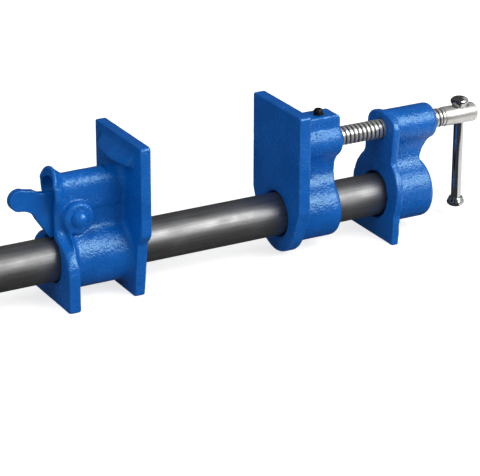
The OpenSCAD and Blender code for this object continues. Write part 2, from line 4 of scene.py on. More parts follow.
import bmesh
import bpy
import numpy as np
from bpy.props import FloatProperty, FloatVectorProperty, IntProperty, PointerProperty
from mathutils import Matrix, Vector, noise

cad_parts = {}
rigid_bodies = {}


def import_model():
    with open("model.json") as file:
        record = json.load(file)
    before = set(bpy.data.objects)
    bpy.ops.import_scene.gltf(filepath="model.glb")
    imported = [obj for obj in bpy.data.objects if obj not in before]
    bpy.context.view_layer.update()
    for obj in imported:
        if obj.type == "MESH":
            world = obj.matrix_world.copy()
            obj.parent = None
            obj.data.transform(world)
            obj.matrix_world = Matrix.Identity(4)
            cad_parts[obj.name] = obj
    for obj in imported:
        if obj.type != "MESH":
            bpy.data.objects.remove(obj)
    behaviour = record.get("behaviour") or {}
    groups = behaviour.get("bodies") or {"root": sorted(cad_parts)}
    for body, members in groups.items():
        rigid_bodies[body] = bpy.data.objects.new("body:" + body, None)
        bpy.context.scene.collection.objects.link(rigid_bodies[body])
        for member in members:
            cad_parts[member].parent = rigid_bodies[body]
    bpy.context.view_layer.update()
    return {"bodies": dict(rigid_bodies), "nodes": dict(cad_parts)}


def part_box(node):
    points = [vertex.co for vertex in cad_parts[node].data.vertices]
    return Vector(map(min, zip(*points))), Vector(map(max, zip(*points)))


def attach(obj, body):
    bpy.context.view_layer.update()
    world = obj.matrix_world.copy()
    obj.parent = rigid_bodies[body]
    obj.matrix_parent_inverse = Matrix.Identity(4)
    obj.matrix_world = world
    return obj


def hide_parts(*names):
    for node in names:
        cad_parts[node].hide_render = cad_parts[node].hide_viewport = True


bl_info = {
    "name": "Pipe clamp",
    "version": (1, 0, 0),
    "blender": (4, 5, 0),
    "location": "3D View > Sidebar > Clamp",
    "description": "Castings, screw, pipe and small parts of a pipe clamp, and a studio",
    "category": "Object",
}

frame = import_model()

# ---- Values that no user would change; lengths are in metres and angles in degrees

X, Y, Z = 0, 1, 2
HALF_PI = math.pi / 2
WHITE, BLACK = (1.0, 1.0, 1.0, 1.0), (0.0, 0.0, 0.0, 1.0)
# Points closer than this are one point
MERGE = 2e-6
# Rows of faces in one turn of a thread
SAMPLES_PER_TURN = 10
# Where a thread's flank starts and ends, as shares of the way from its crest to its root
FLANK = (0.42, 0.86)

# Castings, and the bodies that they ride on
CASTINGS = (("fixed_head", "pipe_and_head"), ("moving_jaw", "jaw"), ("tail_jaw", "tail"))
# Share of the way to the mean of its neighbours that a point goes in one easing pass
EASE = 0.5
# Easing that marks a full edge or a full crease, as a share of the grid
FULL_EDGE = 0.3
# Waves of a sand mould: how many in a metre, and their share of the depth
MOULD_WAVES = ((170.0, 1.0), (420.0, 0.5))
# A soft place works in full this many times further in than its border
SOFT_BORDER = 3
# Boxes in which a casting is rounder than its solid. In a box with a wall, what stands out from the
# wall to the left is also drawn out to an arc, stretched in its middle and half_width to each side
SOFT_PLACES = {"tail_jaw": (
    {"middle": (-0.0045, 0.0, 0.0865), "half": (0.0062, 0.03, 0.0105), "passes": 22,
     "wall": -0.0015, "half_width": 0.0235, "stretch": 1.9},
    {"middle": (-0.044, 0.014, 0.045), "half": (0.009, 0.011, 0.016), "passes": 30},
    {"middle": (-0.044, -0.014, 0.045), "half": (0.009, 0.011, 0.016), "passes": 30})}
# The tail jaw's tunnel mouth: how far each side spreads, and where that starts and is full along
# the tunnel, up from its foot, down from its crown, and outwards from its middle
MOUTH_SPREAD = 0.0028
MOUTH_ALONG, MOUTH_FOOT = (-0.0385, -0.0455), (0.056, 0.067)
MOUTH_CROWN, MOUTH_SIDE = (0.086, 0.070), (0.0015, 0.0055)

# The bar's caps, as shares of a cap's height and radius, from the collar to the middle of the dome
CAP_OUTLINE = (
    (0.0, 0.76), (0.03, 0.8), (0.1, 0.83), (0.2, 0.87), (0.32, 0.94), (0.42, 0.985), (0.52, 1.0),
    (0.62, 0.985), (0.72, 0.93), (0.82, 0.82), (0.9, 0.67), (0.96, 0.47), (0.99, 0.25), (1.0, 0.0))

# Materials by slot, with the smooth enamel of the lever and the pin, which share the castings' slot
FINISH_NAMES = {
    "blue_enamel": "Blue enamel", "smooth_enamel": "Smooth blue enamel",
    "pipe_steel": "Rolled pipe steel", "plated_steel": "Plated screw steel",
    "bar_chrome": "Bar chrome", "black_oxide": "Black oxide", "spring_steel": "Spring wire"}
# Depth of the enamel's grain over a casting and over smooth steel
CAST_GRAIN, SMOOTH_GRAIN = 0.0006, 0.00012
# Where most values of a noise lie
MOST = (0.3, 0.7)
# Radii between which shade is painted into the roots of the screw's thread, and how far its end is
# from the spindle's end
ROOT_SHADE, THREAD_TO_END = (0.0059, 0.0051), 0.0256

# Camera: its turn, lift and roll, the point it was set up on, how far that point is from the middle
# of its view, to the side and upwards, and how far away it is
CAMERA_TURNS = (-28.844, 22.362, 0.170)
CAMERA_POINT, CAMERA_SHIFT, CAMERA_FAR = (0.17594, 0.0, 0.026), (0.08371, 0.02779), 1.47613
SENSOR_WIDTH, CLIP_START, CLIP_END = 36.0, 0.05, 200.0
# What the lights look at, and for each its direction from there, distance and size
LIGHTS_POINT = (0.09, 0.0, 0.05)
KEY_LIGHT = ((0.45, -0.72, 0.61), 1.5, (1.0, 0.85))
TOP_LIGHT = ((-0.6, -0.3, 0.74), 1.8, (1.5, 1.5))
FLOOR_HALF, FLOOR_GLOW = 30.0, 0.72
# The room of cards that only reflections see, which paint what the metal and enamel reflect: its
# sides, its height, and the line that parts the floor in two
LEFT, RIGHT, FRONT, BACK, LOW, HIGH, SPLIT = -1.8, 2.4, -2.6, 2.2, 0.0003, 2.6, 0.03
# Each card's brightness and two opposite corners; dark cards paint a dim room into reflections, the
# floor behind the line darker as painted shadow, and pale cards on the right glow as painted
# reflections
CARDS = {
    "card_floor_front": (0.04, (LEFT, FRONT, LOW), (RIGHT, SPLIT, LOW)),
    "card_floor_back": (0.015, (LEFT, SPLIT, LOW), (RIGHT, BACK, LOW)),
    "card_left": (0.02, (LEFT, FRONT, LOW), (LEFT, BACK, HIGH)),
    "card_back": (0.06, (LEFT, BACK, LOW), (RIGHT, BACK, HIGH)),
    "card_right": (0.45, (RIGHT, FRONT, LOW), (RIGHT, BACK, HIGH)),
    "card_front": (0.09, (LEFT, FRONT, LOW), (RIGHT, FRONT, HIGH)),
    "card_over": (0.07, (LEFT, FRONT, HIGH), (RIGHT, BACK, HIGH)),
    "card_floor_right": (0.9, (0.242, -0.13, 2 * LOW), (0.62, 0.2, 2 * LOW))}


# ---- Sizes, finishes and studio that a user would change

class ClampSizes(bpy.types.PropertyGroup):
    """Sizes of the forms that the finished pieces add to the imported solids"""
    cast_grid: FloatProperty(
        name="Casting grid", description="Grid that the castings are rounded on",
        default=0.0007, min=0.0005, max=0.002, unit="LENGTH", precision=5)
    lever_grid: FloatProperty(
        name="Lever grid", description="Grid that the cam lever is rounded on",
        default=0.00035, min=0.0002, max=0.001, unit="LENGTH", precision=5)
    cast_passes: IntProperty(
        name="Rounding", description="How often the edges of a casting are eased",
        default=4, min=0, max=30)
    cast_swell: FloatProperty(
        name="Mould unevenness", description="Depth of the slow waves that a sand mould leaves",
        default=0.00006, min=0.0, max=0.0005, unit="LENGTH", precision=5)
    screw_pitch: FloatProperty(
        name="Screw pitch", description="Pitch of the clamping screw's thread",
        default=0.003, min=0.001, max=0.006, unit="LENGTH", precision=4)
    screw_depth: FloatProperty(
        name="Screw thread depth", description="Depth of the clamping screw's thread",
        default=0.00115, min=0.0005, max=0.002, unit="LENGTH", precision=5)
    pipe_pitch: FloatProperty(
        name="Pipe thread pitch",
        description="Pitch of the thread in the head, 14 turns to the inch",
        default=0.001814, min=0.001, max=0.003, unit="LENGTH", precision=6)
    pipe_thread: FloatProperty(
        name="Pipe thread length", description="Length of the thread at the head's end of the pipe",
        default=0.022, min=0.01, max=0.03, unit="LENGTH", precision=4)
    grub_pitch: FloatProperty(
        name="Set screw pitch", description="Pitch of the jaw's set screw",
        default=0.001, min=0.0005, max=0.0015, unit="LENGTH", precision=5)
    wire_radius: FloatProperty(
        name="Spring wire radius", description="Radius of the torsion spring's wire",
        default=0.0005, min=0.0003, max=0.001, unit="LENGTH", precision=5)


class ClampFinish(bpy.types.PropertyGroup):
    """Colours of the clamp's finishes"""
    enamel: FloatVectorProperty(
        name="Blue enamel", description="Colour of the castings, the lever and the pin",
        subtype="COLOR", size=3, min=0, max=1, default=(0.0008, 0.1, 0.43))
    pipe: FloatVectorProperty(
        name="Pipe steel", description="Colour of the dark rolled pipe",
        subtype="COLOR", size=3, min=0, max=1, default=(0.26, 0.26, 0.26))
    plated: FloatVectorProperty(
        name="Plated steel", description="Colour of the plated screw",
        subtype="COLOR", size=3, min=0, max=1, default=(0.78, 0.765, 0.73))
    chrome: FloatVectorProperty(
        name="Chrome", description="Colour of the bar and its caps",
        subtype="COLOR", size=3, min=0, max=1, default=(0.72, 0.72, 0.73))
    oxide: FloatVectorProperty(
        name="Black oxide", description="Colour of the set screw",
        subtype="COLOR", size=3, min=0, max=1, default=(0.022, 0.022, 0.024))
    wire: FloatVectorProperty(
        name="Spring wire", description="Colour of the torsion spring",
        subtype="COLOR", size=3, min=0, max=1, default=(0.34, 0.33, 0.32))


class ClampStudio(bpy.types.PropertyGroup):
    """Light, floor and camera"""
    key_power: FloatProperty(
        name="Key light", description="Power of the broad light on the camera's right",
        default=19.0, min=0.0, max=100.0, unit="POWER")
    top_power: FloatProperty(
        name="Top light", description="Power of the broad light over the clamp's left end",
        default=13.0, min=0.0, max=100.0, unit="POWER")
    fill: FloatProperty(
        name="Fill", description="Strength of the even light from all round",
        default=0.32, min=0.0, max=2.0)
    floor: FloatVectorProperty(
        name="Floor", description="Colour of the floor",
        subtype="COLOR", size=3, min=0, max=1, default=(0.62, 0.62, 0.62))
    lens: FloatProperty(
        name="Lens", description="Focal length of the camera",
        default=175.97, min=20, max=400, unit="CAMERA")


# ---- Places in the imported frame

def span(node, axis):
    """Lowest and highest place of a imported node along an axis"""
    low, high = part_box(node)
    return low[axis], high[axis]


def middle(node, axis):
    return sum(span(node, axis)) / 2


def half_width(node, axis):
    low, high = span(node, axis)
    return (high - low) / 2


# ---- Nodes

FLOAT, INTEGER = "NodeSocketFloat", "NodeSocketInt"
MATERIAL, GEOMETRY = "NodeSocketMaterial", "NodeSocketGeometry"


class Nodes:
    """Short way to fill a node tree"""

    def __init__(self, tree):
        self.tree = tree

    def feed(self, socket, value):
        """Links a socket to another one, or sets its value"""
        if isinstance(value, bpy.types.NodeSocket):
            self.tree.links.new(value, socket)
        else:
            socket.default_value = value

    def add(self, kind, inputs=None, **settings):
        node = self.tree.nodes.new(kind)
        for key, value in settings.items():
            setattr(node, key, value)
        for key, value in (inputs or {}).items():
            self.feed(node.inputs[key], value)
        return node

    def math(self, operation, *values):
        node = self.add("ShaderNodeMath", operation=operation)
        for socket, value in zip(node.inputs, values):
            self.feed(socket, value)
        return node.outputs[0]

    def ramp(self, value, low, high, start=0.0, end=1.0):
        """Smooth way from start to end while the value goes from low to high"""
        return self.add("ShaderNodeMapRange", {
            "Value": value, "From Min": low, "From Max": high, "To Min": start, "To Max": end},
            interpolation_type="SMOOTHSTEP").outputs["Result"]

    def noise(self, vector, scale, detail=3.0, roughness=0.5):
        return self.add("ShaderNodeTexNoise", {
            "Vector": vector, "Scale": scale, "Detail": detail,
            "Roughness": roughness}).outputs["Fac"]

    def parts(self, vector):
        return self.add("ShaderNodeSeparateXYZ", {"Vector": vector}).outputs

    def object_place(self):
        return self.add("ShaderNodeTexCoord").outputs["Object"]


def new_tree(name, kind, inputs, outputs):
    """Node group with named sockets: its nodes, what it is given and what it puts out"""
    tree = bpy.data.node_groups.new(name, kind)
    for label, socket_type, default in inputs:
        socket = tree.interface.new_socket(label, in_out="INPUT", socket_type=socket_type)
        if default is not None:
            socket.default_value = default
    for label, socket_type in outputs:
        tree.interface.new_socket(label, in_out="OUTPUT", socket_type=socket_type)
    nodes = Nodes(tree)
    return nodes, nodes.add("NodeGroupInput").outputs, nodes.add("NodeGroupOutput").inputs


def end_geometry(nodes, given, result, geometry):
    """Ends a geometry tree with its instances made real and its material set"""
    real = nodes.add("GeometryNodeRealizeInstances", {"Geometry": geometry}).outputs[0]
    nodes.feed(result["Geometry"], nodes.add("GeometryNodeSetMaterial", {
        "Geometry": real, "Material": given["Material"]}).outputs[0])
    return nodes.tree


def thread_tree():
    """Rolled thread along X: a grid whose rows follow the helix, between two cones at its ends"""
    nodes, given, result = new_tree("Rolled thread", "GeometryNodeTree", (
        ("Start", FLOAT, 0.0), ("End", FLOAT, 0.02), ("Crest Radius", FLOAT, 0.006),
        ("Depth", FLOAT, 0.001), ("End Radius", FLOAT, 0.004), ("Pitch", FLOAT, 0.003),
        ("Around", INTEGER, 64), ("Rows", INTEGER, 40), ("Material", MATERIAL, None)),
        (("Geometry", GEOMETRY),))
    start, end, pitch, rows = given["Start"], given["End"], given["Pitch"], given["Rows"]
    grid = nodes.add("GeometryNodeMeshGrid", {
        "Size X": 1.0, "Size Y": 1.0, "Vertices X": nodes.math("ADD", given["Around"], 1),
        "Vertices Y": rows})
    place = nodes.parts(nodes.add("GeometryNodeInputPosition").outputs[0])
    turn = nodes.math("ADD", place["X"], 0.5)
    last = nodes.math("SUBTRACT", rows, 1)
    row = nodes.math("ROUND", nodes.math("MULTIPLY", nodes.math("ADD", place["Y"], 0.5), last))
    turns = nodes.math("SUBTRACT", nodes.math("DIVIDE", row, SAMPLES_PER_TURN), 1)
    free = nodes.math("MULTIPLY_ADD", nodes.math("ADD", turns, turn), pitch, start)
    along = nodes.math("MINIMUM", nodes.math("MAXIMUM", free, start), end)
    phase = nodes.math("FRACT", nodes.math("ADD", turns, 2))
    away = nodes.math("MULTIPLY", nodes.math("ABSOLUTE", nodes.math("SUBTRACT", phase, 0.5)), 2)
    fall = nodes.math("MULTIPLY", nodes.ramp(away, *FLANK), given["Depth"])
    thread = nodes.math("SUBTRACT", given["Crest Radius"], fall)
    cones = [nodes.math("ADD", given["End Radius"], nodes.math("SUBTRACT", *ends))
             for ends in ((along, start), (end, along))]
    radius = nodes.math("MINIMUM", thread, nodes.math("MINIMUM", *cones))
    angle = nodes.math("MULTIPLY", turn, math.tau)
    point = nodes.add("ShaderNodeCombineXYZ", {
        "X": along, "Y": nodes.math("MULTIPLY", radius, nodes.math("COSINE", angle)),
        "Z": nodes.math("MULTIPLY", radius, nodes.math("SINE", angle))}).outputs[0]
    moved = nodes.add("GeometryNodeSetPosition", {
        "Geometry": grid.outputs["Mesh"], "Position": point}).outputs[0]
    merged = nodes.add("GeometryNodeMergeByDistance", {
        "Geometry": moved, "Distance": MERGE}).outputs[0]
    return end_geometry(nodes, given, result, merged)


def wire_tree():
    """Round wire along the edges of a mesh line"""
    nodes, given, result = new_tree("Round wire", "GeometryNodeTree", (
        ("Geometry", GEOMETRY, None), ("Wire Radius", FLOAT, 0.0005), ("Sides", INTEGER, 14),
        ("Step", FLOAT, 0.0004), ("Material", MATERIAL, None)), (("Geometry", GEOMETRY),))
    line = nodes.add("GeometryNodeMeshToCurve", {"Mesh": given["Geometry"]}).outputs[0]
    even = nodes.add("GeometryNodeResampleCurve", {
        "Curve": line, "Length": given["Step"]}, mode="LENGTH").outputs[0]
    ring = nodes.add("GeometryNodeCurvePrimitiveCircle", {
        "Resolution": given["Sides"], "Radius": given["Wire Radius"]}).outputs["Curve"]
    tube = nodes.add("GeometryNodeCurveToMesh", {
        "Curve": even, "Profile Curve": ring, "Fill Caps": True}).outputs[0]
    return end_geometry(nodes, given, result, tube)


def run_tree(tree, base, values):
    """Plain mesh that a geometry tree makes on a base object; the base goes"""
    modifier = base.modifiers.new(tree.name, "NODES")
    modifier.node_group = tree
    for item in tree.interface.items_tree:
        if item.item_type == "SOCKET" and item.in_out == "INPUT" and item.name in values:
            modifier[item.identifier] = values[item.name]
    mesh = evaluated_mesh(base)
    base.modifiers.remove(modifier)
    bpy.data.objects.remove(base)
    return mesh


# ---- Finishes

def cast_group():
    """Grain and pits of a sand casting under paint, and the slow drift of its colour"""
    nodes, given, result = new_tree("Cast skin", "ShaderNodeTree", (
        ("Grain Scale", FLOAT, 1100.0), ("Lump Scale", FLOAT, 320.0), ("Pit Scale", FLOAT, 420.0),
        ("Drift Scale", FLOAT, 45.0)), (("Height", FLOAT), ("Drift", FLOAT), ("Pits", FLOAT)))
    grain_part, lump_part, pit_part = 0.5, 0.6, 0.3
    few, pit_rim, pit_floor = (0.45, 0.6), 0.32, 0.12
    place = nodes.object_place()
    grain = nodes.noise(place, given["Grain Scale"], 2.0)
    lumps = nodes.noise(place, given["Lump Scale"], 1.0)
    cells = nodes.add("ShaderNodeTexVoronoi", {
        "Vector": place, "Scale": given["Pit Scale"]}).outputs["Distance"]
    sparse = nodes.ramp(nodes.noise(place, given["Drift Scale"], 2.0), *few)
    pits = nodes.math("MULTIPLY", nodes.ramp(cells, pit_rim, pit_floor), sparse)
    raised = nodes.math("MULTIPLY_ADD", grain, grain_part, nodes.math("MULTIPLY", lumps, lump_part))
    sunk = nodes.math("MULTIPLY", pits, pit_part)
    nodes.feed(result["Height"], nodes.math("SUBTRACT", raised, sunk))
    nodes.feed(result["Drift"], nodes.noise(place, given["Drift Scale"], 3.0))
    nodes.feed(result["Pits"], pits)
    return nodes.tree


def edge_light_and_crease_shade_group():
    """Painted highlight on edges, broken into patches, and painted shade in hollows"""
    nodes, given, result = new_tree("Coat thickness", "ShaderNodeTree", (
        ("Break Scale", FLOAT, 260.0), ("Rub", FLOAT, 0.5)), (("Thin", FLOAT), ("Pooled", FLOAT)))
    patches, on_edge, in_hollow = (0.38, 0.62), (0.25, 0.95), (0.1, 0.8)
    edge = nodes.add("ShaderNodeAttribute", attribute_name="edge").outputs["Fac"]
    crease = nodes.add("ShaderNodeAttribute", attribute_name="crease").outputs["Fac"]
    broken = nodes.ramp(nodes.noise(nodes.object_place(), given["Break Scale"], 3.0), *patches)
    whole = nodes.math("SUBTRACT", 1.0, given["Rub"])
    share = nodes.math("MULTIPLY_ADD", broken, given["Rub"], whole)
    nodes.feed(result["Thin"], nodes.math("MULTIPLY", nodes.ramp(edge, *on_edge), share))
    nodes.feed(result["Pooled"], nodes.ramp(crease, *in_hollow))
    return nodes.tree


def metal_group():
    """Marks of making on metal: fine lines along or across X, smudges from hands, and specks"""
    nodes, given, result = new_tree("Metal marks", "ShaderNodeTree", (
        ("Along Scale", FLOAT, 20.0), ("Across Scale", FLOAT, 4000.0),
        ("Smudge Scale", FLOAT, 60.0)), (("Lines", FLOAT), ("Smudge", FLOAT), ("Specks", FLOAT)))
    specks_per_smudge, speck_rim = 14.0, (0.62, 0.74)
    place = nodes.object_place()
    parts = nodes.parts(place)
    stretched = nodes.add("ShaderNodeCombineXYZ", {
        axis: nodes.math("MULTIPLY", parts[axis], given[scale]) for axis, scale in (
            ("X", "Along Scale"), ("Y", "Across Scale"), ("Z", "Across Scale"))}).outputs[0]
    speck_scale = nodes.math("MULTIPLY", given["Smudge Scale"], specks_per_smudge)
    nodes.feed(result["Lines"], nodes.noise(stretched, 1.0, 3.0))
    nodes.feed(result["Smudge"], nodes.noise(place, given["Smudge Scale"], 4.0, 0.6))
    nodes.feed(result["Specks"], nodes.ramp(nodes.noise(place, speck_scale, 2.0), *speck_rim))
    return nodes.tree


def new_material(name):
    """Material with a bare Principled shader: the material, its nodes and the shader's inputs"""
    material = bpy.data.materials.new(name)
    material.use_nodes = True
    tree = material.node_tree
    return material, Nodes(tree), tree.nodes["Principled BSDF"].inputs


def placed(nodes, tree, values):
    """Outputs of a shared group in a material, with its own values"""
    return nodes.add("ShaderNodeGroup", values, node_tree=tree).outputs


def shade(colour, factor):
    return tuple(min(channel * factor, 1.0) for channel in colour) + (1.0,)


def mix_colour(nodes, share, first, second):
    node = nodes.add("ShaderNodeMix", data_type="RGBA")
    for key, value in (("Factor", share), ("A", first), ("B", second)):
        nodes.feed(node.inputs[key], value)
    return node.outputs["Result"]


def bump(nodes, height, strength, depth):
    return nodes.add("ShaderNodeBump", {
        "Strength": strength, "Distance": depth, "Height": height}).outputs["Normal"]


def enamel_material(slot, finish, groups, grain):
    """Glossy blue enamel over rough cast iron, or over smooth steel"""
    _, nodes, shader = new_material(FINISH_NAMES[slot])
    skin = placed(nodes, groups["cast"], {})
    edge_and_crease_light = placed(nodes, groups["painted_light"], {"Rub": 0.6})
    # Colours for the random drift, for painted shade in creases and pits, and for a painted
    # highlight on edges
    dull, lively, crease_shade, pit_shade = (shade(finish.enamel, factor) for factor in (0.9, 1.1, 0.55, 0.5))
    edge_highlight, gloss_tint = (0.05, 0.22, 0.62, 1.0), (0.55, 0.92, 1.0, 1.0)
    drift, roughness = (0.25, 0.75), (0.22, 0.31)
    tone = mix_colour(nodes, nodes.ramp(skin["Drift"], *MOST), dull, lively)
    # Paints shade into creases and cast pits, and a highlight onto edges
    for place, share, colour in (
            (edge_and_crease_light["Pooled"], 0.45, crease_shade), (skin["Pits"], 0.35, pit_shade), (edge_and_crease_light["Thin"], 0.35, edge_highlight)):
        tone = mix_colour(nodes, nodes.math("MULTIPLY", place, share), tone, colour)
    nodes.feed(shader["Base Color"], tone)
    nodes.feed(shader["Roughness"], nodes.ramp(skin["Drift"], *drift, *roughness))
    nodes.feed(shader["Normal"], bump(nodes, skin["Height"], strength=1.0, depth=grain))
    shader["Specular IOR Level"].default_value = 0.95
    shader["Specular Tint"].default_value = gloss_tint


def metal_material(slot, groups, scales, metallic, roughness, strength, depth):
    """Metal whose gloss and fine lines come from the marks of its making; its colour comes later"""
    _, nodes, shader = new_material(FINISH_NAMES[slot])
    along, across, smudge = scales
    marks = placed(nodes, groups["metal"], {
        "Along Scale": along, "Across Scale": across, "Smudge Scale": smudge})
    nodes.feed(shader["Roughness"], nodes.ramp(marks["Smudge"], *MOST, *roughness))
    nodes.feed(shader["Normal"], bump(nodes, marks["Lines"], strength, depth))
    shader["Metallic"].default_value = metallic
    return nodes, shader, marks


def pipe_material(finish, groups):
    """Dark rolled steel: streaks along the pipe, mill scale and oily smudges"""
    nodes, shader, marks = metal_material(
        "pipe_steel", groups, scales=(25.0, 900.0, 55.0), metallic=0.9, roughness=(0.42, 0.54),
        strength=0.25, depth=0.00003)
    dark, pale, speck = (shade(finish.pipe, factor) for factor in (0.85, 1.12, 0.55))
    tone = mix_colour(nodes, nodes.ramp(marks["Lines"], *MOST), dark, pale)
    specks = nodes.math("MULTIPLY", marks["Specks"], 0.5)
    nodes.feed(shader["Base Color"], mix_colour(nodes, specks, tone, speck))


def paint_root_shade(nodes, tone, root_shade_colour):
    """Paints shade into the roots of the clamping screw's thread"""
    place = nodes.parts(nodes.object_place())
    sides = nodes.math("SUBTRACT", place["Z"], middle("screw_spindle", Z)), place["Y"]
    squares = [nodes.math("POWER", nodes.math("ABSOLUTE", side), 2.0) for side in sides]
    radius = nodes.math("SQRT", nodes.math("ADD", *squares))
    thread_end = span("screw_spindle", X)[1] - THREAD_TO_END
    on_thread = nodes.math("LESS_THAN", place["X"], thread_end)
    deep = nodes.math("MULTIPLY", nodes.ramp(radius, *ROOT_SHADE), on_thread)
    return mix_colour(nodes, nodes.math("MULTIPLY", deep, 0.88), tone, root_shade_colour)


def bright_material(slot, colour, groups, roughness, lines, metallic=1.0, shade_roots=False):
    """Plated or polished steel with the lines of its making, and painted shade in the roots of the
    screw's thread
    """
    nodes, shader, marks = metal_material(
        slot, groups, scales=(*lines, 90.0), metallic=metallic,
        roughness=(roughness, roughness * 1.6), strength=0.1, depth=0.00002)
    smudged = nodes.ramp(marks["Smudge"], 0.3, 0.75)
    tone = mix_colour(nodes, smudged, shade(colour, 1.0), shade(colour, 0.9))
    # Painted shade: the roots of the thread are darkened nearly to black
    if shade_roots:
        tone = paint_root_shade(nodes, tone, shade(colour, 0.06))
    nodes.feed(shader["Base Color"], tone)


def oxide_material(finish, groups):
    """Black oxide on the set screw, rubbed in patches"""
    nodes, shader, marks = metal_material(
        "black_oxide", groups, scales=(900.0, 900.0, 300.0), metallic=0.7, roughness=(0.36, 0.5),
        strength=0.3, depth=0.00003)
    rubbed = nodes.ramp(marks["Smudge"], 0.45, 0.8)
    tone = mix_colour(nodes, rubbed, shade(finish.oxide, 1.0), shade(finish.oxide, 3.0))
    nodes.feed(shader["Base Color"], tone)


def finish_materials():
    """All finishes of the clamp, by slot, and the smooth enamel; made once"""
    if bpy.data.materials.get(FINISH_NAMES["blue_enamel"]) is None:
        finish = bpy.context.scene.clamp_finish
        groups = {"cast": cast_group(), "painted_light": edge_light_and_crease_shade_group(), "metal": metal_group()}
        enamel_material("blue_enamel", finish, groups, CAST_GRAIN)
        enamel_material("smooth_enamel", finish, groups, SMOOTH_GRAIN)
        pipe_material(finish, groups)
        bright_material("plated_steel", finish.plated, groups, roughness=0.27,
                        lines=(5000.0, 90.0), metallic=0.75, shade_roots=True)
        bright_material("bar_chrome", finish.chrome, groups, roughness=0.1, lines=(600.0, 600.0))
        bright_material("spring_steel", finish.wire, groups, roughness=0.3, lines=(800.0, 800.0))
        oxide_material(finish, groups)
    return {slot: bpy.data.materials[name] for slot, name in FINISH_NAMES.items()}


# ---- Meshes

def new_object(name, data):
    item = bpy.data.objects.new(name, data)
    bpy.context.scene.collection.objects.link(item)
    return item


def evaluated_mesh(item):
    """Plain mesh of a piece with its modifiers at work"""
    depsgraph = bpy.context.evaluated_depsgraph_get()
    return bpy.data.meshes.new_from_object(item.evaluated_get(depsgraph))


def turned(rows, around=96):
    """Mesh of rows of (place along X, radius, sides) turned about X; a radius of 0 is a pole, and
    with sides the row is a polygon of that many sides, such as 6 for a hexagon"""
    angles = np.arange(around) * (math.tau / around)
    points, faces, rings = [], [], []
    for along, radius, *sides in rows:
        start = len(points)
        if radius == 0:
            points.append((along, 0.0, 0.0))
            rings.append([start])
            continue
        reach = np.full(around, radius)
        if sides:
            step = math.tau / sides[0]
            reach = radius / np.cos((angles + step / 2) % step - step / 2)
        points.extend(zip(np.full(around, along), reach * np.cos(angles), reach * np.sin(angles)))
        rings.append(list(range(start, start + around)))
    for first, second in zip(rings, rings[1:]):
        for i in range(around):
            face = [first[i % len(first)], first[(i + 1) % len(first)],
                    second[(i + 1) % len(second)], second[i % len(second)]]
            faces.append([v for k, v in enumerate(face) if v not in face[:k]])
    mesh = bpy.data.meshes.new("turned")
    mesh.from_pydata(points, [], faces)
    return mesh


def welded(meshes, sliver=MERGE):
    """Mesh editor with several meshes in it whose rims meet, their doubles merged"""
    shape = bmesh.new()
    for mesh in meshes:
        shape.from_mesh(mesh)
    bmesh.ops.remove_doubles(shape, verts=shape.verts, dist=MERGE)
    bmesh.ops.dissolve_degenerate(shape, edges=shape.edges, dist=sliver)
    return shape


def plain_mesh(name, shape):
    """Mesh of what a mesh editor holds; the editor goes"""
    mesh = bpy.data.meshes.new(name)
    shape.to_mesh(mesh)
    shape.free()
    return mesh


def joined(meshes):
    """One closed mesh from several whose rims meet, its faces turned outwards; the several go"""
    shape = welded(meshes)
    for mesh in meshes:
        bpy.data.meshes.remove(mesh)
    bmesh.ops.recalc_face_normals(shape, faces=shape.faces)
    return plain_mesh("joined", shape)


def merged_copy(node):
    """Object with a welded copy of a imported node's mesh"""
    shape = welded([frame["nodes"][node].data], MERGE / 2)
    return new_object(node + "_skin", plain_mesh(node + "_welded", shape))


def thread_mesh(start, end, crest, depth, end_radius, pitch, around):
    """Thread between two places along X, open at both ends, where it has the end radius"""
    rows = math.ceil((end - start) / pitch * SAMPLES_PER_TURN) + SAMPLES_PER_TURN + 2
    tree = bpy.data.node_groups.get("Rolled thread") or thread_tree()
    base = new_object("thread base", bpy.data.meshes.new("thread base"))
    return run_tree(tree, base, {
        "Start": start, "End": end, "Crest Radius": crest, "Depth": depth,
        "End Radius": end_radius, "Pitch": pitch, "Around": around, "Rows": rows})


def cut_away(item, tool):
    """Takes a closed tool mesh out of a piece"""
    cutter = new_object("cutter", tool)
    modifier = item.modifiers.new("cut", "BOOLEAN")
    modifier.operation = "DIFFERENCE"
    modifier.solver = "EXACT"
    modifier.object = cutter
    mesh = evaluated_mesh(item)
    item.modifiers.remove(modifier)
    bpy.data.objects.remove(cutter)
    item.data = mesh


def finish_piece(item, body, node, slot, sharp=35, finish=None):
    """Gives a piece its shading, the finish of its slot and its body, and hides the imported node;
    edges over the sharp angle stay crisp, and a sharp angle of 0 leaves the piece smooth all over"""
    mesh = item.data
    mesh.name = item.name
    mesh.materials.clear()
    mesh.materials.append(finish_materials()[finish or slot])
    mesh.polygons.foreach_set("material_index", np.zeros(len(mesh.polygons), np.int32))
    mesh.shade_smooth()
    if sharp:
        mesh.set_sharp_from_angle(angle=math.radians(sharp))
    mesh.update()
    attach(item, body)
    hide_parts(node)


# ---- Castings

def on_even_grid(item, size):
    """Puts a piece on an even grid, so that easing works alike all over it"""
    remesh = item.modifiers.new("even grid", "REMESH")
    remesh.mode = "VOXEL"
    remesh.voxel_size = size
    remesh.adaptivity = 0.0
    mesh = evaluated_mesh(item)
    item.modifiers.remove(remesh)
    uneven = item.data
    item.data = mesh
    bpy.data.meshes.remove(uneven)
    return mesh


def read_rows(items, name, width, kind=np.float64):
    """Values of a mesh's points or edges as an array with a row for each"""
    values = np.empty(len(items) * width, kind)
    items.foreach_get(name, values)
    return values.reshape(-1, width)


def ease_once(points, edges, share):
    """Moves each point a share of the way to the mean of its neighbours"""
    count = np.bincount(edges.ravel(), minlength=len(points))
    total = np.empty_like(points)
    for axis in (X, Y, Z):
        total[:, axis] = (np.bincount(edges[:, 0], points[edges[:, 1], axis], len(points))
                          + np.bincount(edges[:, 1], points[edges[:, 0], axis], len(points)))
    return points + share * (total / count[:, None] - points)


def smooth_step(values, low, high):
    share = np.clip((values - low) / (high - low), 0, 1)
    return share * share * (3 - 2 * share)


